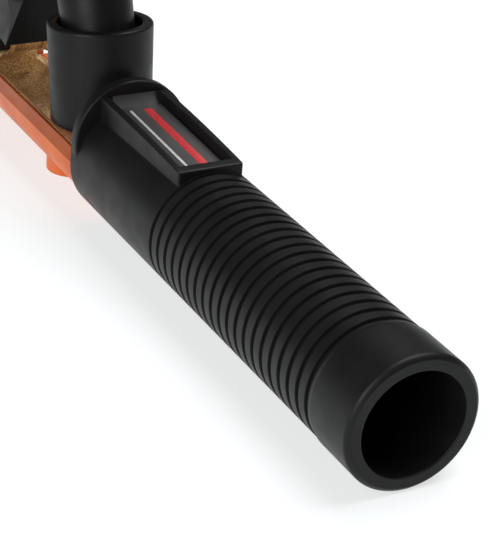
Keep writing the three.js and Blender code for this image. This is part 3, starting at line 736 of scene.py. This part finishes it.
def make_spring():
    """A coil that follows the cup's axis and then the cap's, closer wound towards its ends."""
    spring = new_piece("coil_spring", HOLDER, [STEEL], ["spring"])
    start = Vector((CUP_X, 0, 0)) + CUP_AXIS * (WASHER_HIGH + 0.1 + WIRE_R)
    bend = CAP_BASE + LEVER_AXIS * CAP_LOW
    seat = CAP_BASE + LEVER_AXIS * (cap_top() - CAP_CROWN - GAP - WIRE_R)
    steps = COIL_TURNS * COIL_STEPS

    def spine(t):
        return start * (1 - t) ** 2 + bend * (2 * t * (1 - t)) + seat * t ** 2

    def wire(k):
        t = k / steps
        travel = 0.75 * t + 0.25 * (0.5 - 0.5 * math.cos(math.pi * t))
        along = (spine(min(travel + 0.01, 1)) - spine(max(travel - 0.01, 0))).normalized()
        turn = 2 * math.pi * COIL_TURNS * t
        spoke = ACROSS * math.cos(turn) + along.cross(ACROSS) * math.sin(turn)
        return spine(travel) + spoke * COIL_R

    points = []
    for k in range(steps + 1):
        centre = wire(k)
        run = (wire(min(k + 1, steps)) - wire(max(k - 1, 0))).normalized()
        out = run.cross(ACROSS).cross(run).normalized()
        third = run.cross(out)
        for s in range(WIRE_SIDES):
            angle = 2 * math.pi * s / WIRE_SIDES
            points.append(centre + (out * math.cos(angle) + third * math.sin(angle)) * WIRE_R)
    faces = []
    for k in range(steps):
        faces += band(k * WIRE_SIDES, (k + 1) * WIRE_SIDES, WIRE_SIDES)
    faces.append(list(range(WIRE_SIDES)))
    faces.append(list(range(len(points) - WIRE_SIDES, len(points))))
    fill(spring, points, faces)
    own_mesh(spring)


def make_washer():
    washer = new_piece("spring_seat_washer", HOLDER, [STEEL], ["spring_washer"])
    sides = [(WASHER_HOLE_R, WASHER_LOW), (WASHER_R, WASHER_LOW),
             (WASHER_R, WASHER_HIGH), (WASHER_HOLE_R, WASHER_HIGH)]
    outline = softened([(r, h, 0.1) for r, h in sides], steps=2)
    turned(washer, outline, (CUP_X, 0, 0), CUP_AXIS, segments=72)


# ---------------------------------------------------------------- the pieces

make_handle()
make_label()
make_cup()
make_cap()
make_spring()
make_washer()

arm_materials = [BRASS, BRASS_EDGE, RIM]
arm = from_cad("brass_trough", "lower_arm", HOLDER, arm_materials, 0.32, edge=1)
for face in arm.data.polygons:
    if face.normal.z > 0.99 and abs(face.center.z - RIM_TOP * MM) < 0.1 * MM:
        face.material_index = arm_materials.index(RIM)
from_cad("orange_belly", "arm_shell", HOLDER, [ORANGE], 0.35)
for side in ("left", "right"):
    from_cad(f"fibre_strip_{side}", f"side_strip_{side}", HOLDER, [FIBRE], 0.18)
    from_cad(f"bush_{side}", f"hinge_bush_{side}", LEVER, [BRONZE], 0.15)
    from_cad(f"ring_{side}", f"retaining_ring_{side}", HOLDER, [STEEL, STEEL_EDGE], 0.12,
             edge=1)
from_cad("pivot_pin", "hinge_pin", HOLDER, [STEEL, STEEL_EDGE], 0.3, edge=1)
from_cad("lever_shell", "lever_cover", LEVER, [BLACK], 0.6)
from_cad("brass_lever", "upper_arm", LEVER, [BRASS, BRASS_EDGE], 0.3, edge=1)
from_cad("jaw_boot_upper", "upper_jaw_insulator", LEVER, [ORANGE], 0.5)
from_cad("jaw_boot_lower", "lower_jaw_insulator", HOLDER, [ORANGE], 0.5)
from_cad("clamp_shoe_plate", "cable_clamp_shoe", "clamp_shoe", [COPPER], 0.2)
SCREWS = {
    "shell_screw": HOLDER, "handle_lock_screw": HOLDER, "cup_screw": HOLDER, "cap_screw": LEVER,
    "cover_screw_1": LEVER, "cover_screw_2": LEVER,
    "upper_jaw_screw_1": LEVER, "upper_jaw_screw_2": LEVER,
    "lower_jaw_screw_1": HOLDER, "lower_jaw_screw_2": HOLDER,
    "clamp_screw_1": "rear_clamp_screw", "clamp_screw_2": "front_clamp_screw",
}
for screw, body in SCREWS.items():
    from_cad(f"{screw}_finish", screw, body, [STEEL, STEEL_EDGE], 0.18, edge=1)


# ---------------------------------------------------------------- floor, light and camera


def make_floor():
    """A pale floor that touches the handle's rear edge and the foot."""
    rear_z, foot_z = HANDLE_LOW.z, corners("arm_shell")[0].z
    slope = (foot_z - rear_z) / FOOT_X
    signs = ((-1, -1), (1, -1), (1, 1), (-1, 1))
    points = [(FLOOR_HALF * sx, FLOOR_HALF * sy, rear_z + slope * FLOOR_HALF * sx - FLOOR_GAP)
              for sx, sy in signs]
    mesh = bpy.data.meshes.new("floor")
    mesh.from_pydata([Vector(p) * MM for p in points], [], [(0, 1, 2, 3)])
    floor = bpy.data.objects.new("floor", mesh)
    bpy.context.scene.collection.objects.link(floor)
    looks = Looks("floor_paint", (0.36, 0.385, 0.39), 0.9, specular=0.0)
    looks.shader.inputs["Emission Color"].default_value = (1, 1, 1, 1)
    looks.shader.inputs["Emission Strength"].default_value = FLOOR_GLOW
    mesh.materials.append(looks.material)


def area_light(name, place, size, power):
    """A round lamp aimed at the middle of the handle."""
    data = bpy.data.lights.new(name, "AREA")
    data.shape = "DISK"
    data.size = size * MM
    data.energy = power
    lamp = bpy.data.objects.new(name, data)
    bpy.context.scene.collection.objects.link(lamp)
    lamp.location = Vector(place) * MM
    aim = (LIGHT_TARGET - Vector(place)).normalized()
    lamp.rotation_mode = "QUATERNION"
    lamp.rotation_quaternion = aim.to_track_quat("-Z", "Y")


def make_light():
    world = bpy.data.worlds.new("studio")
    world.use_nodes = True
    background = world.node_tree.nodes["Background"]
    background.inputs["Color"].default_value = (1, 1, 1, 1)
    background.inputs["Strength"].default_value = WORLD_STRENGTH
    bpy.context.scene.world = world
    area_light("overhead", (190, -450, 1280), size=1300, power=20)
    area_light("left_fill", (-300, 900, 500), size=900, power=9)


def make_camera():
    level = math.cos(CAMERA_PITCH)
    forward = Vector((math.cos(CAMERA_YAW) * level, math.sin(CAMERA_YAW) * level,
                      -math.sin(CAMERA_PITCH)))
    right = forward.cross(UP).normalized()
    up = right.cross(forward)
    side = right * math.cos(CAMERA_ROLL) + up * math.sin(CAMERA_ROLL)
    top = up * math.cos(CAMERA_ROLL) - right * math.sin(CAMERA_ROLL)
    data = bpy.data.cameras.new("camera")
    data.lens = CAMERA_LENS
    data.sensor_width = CAMERA_SENSOR
    data.clip_start = 0.01
    data.clip_end = 50
    camera = bpy.data.objects.new("camera", data)
    bpy.context.scene.collection.objects.link(camera)
    turn = Matrix((side, top, -forward)).transposed().to_4x4()
    camera.matrix_world = Matrix.Translation(CAMERA_AT * MM) @ turn
    bpy.context.scene.camera = camera


make_floor()
make_light()
make_camera()
bpy.context.scene.view_settings.view_transform = "Standard"
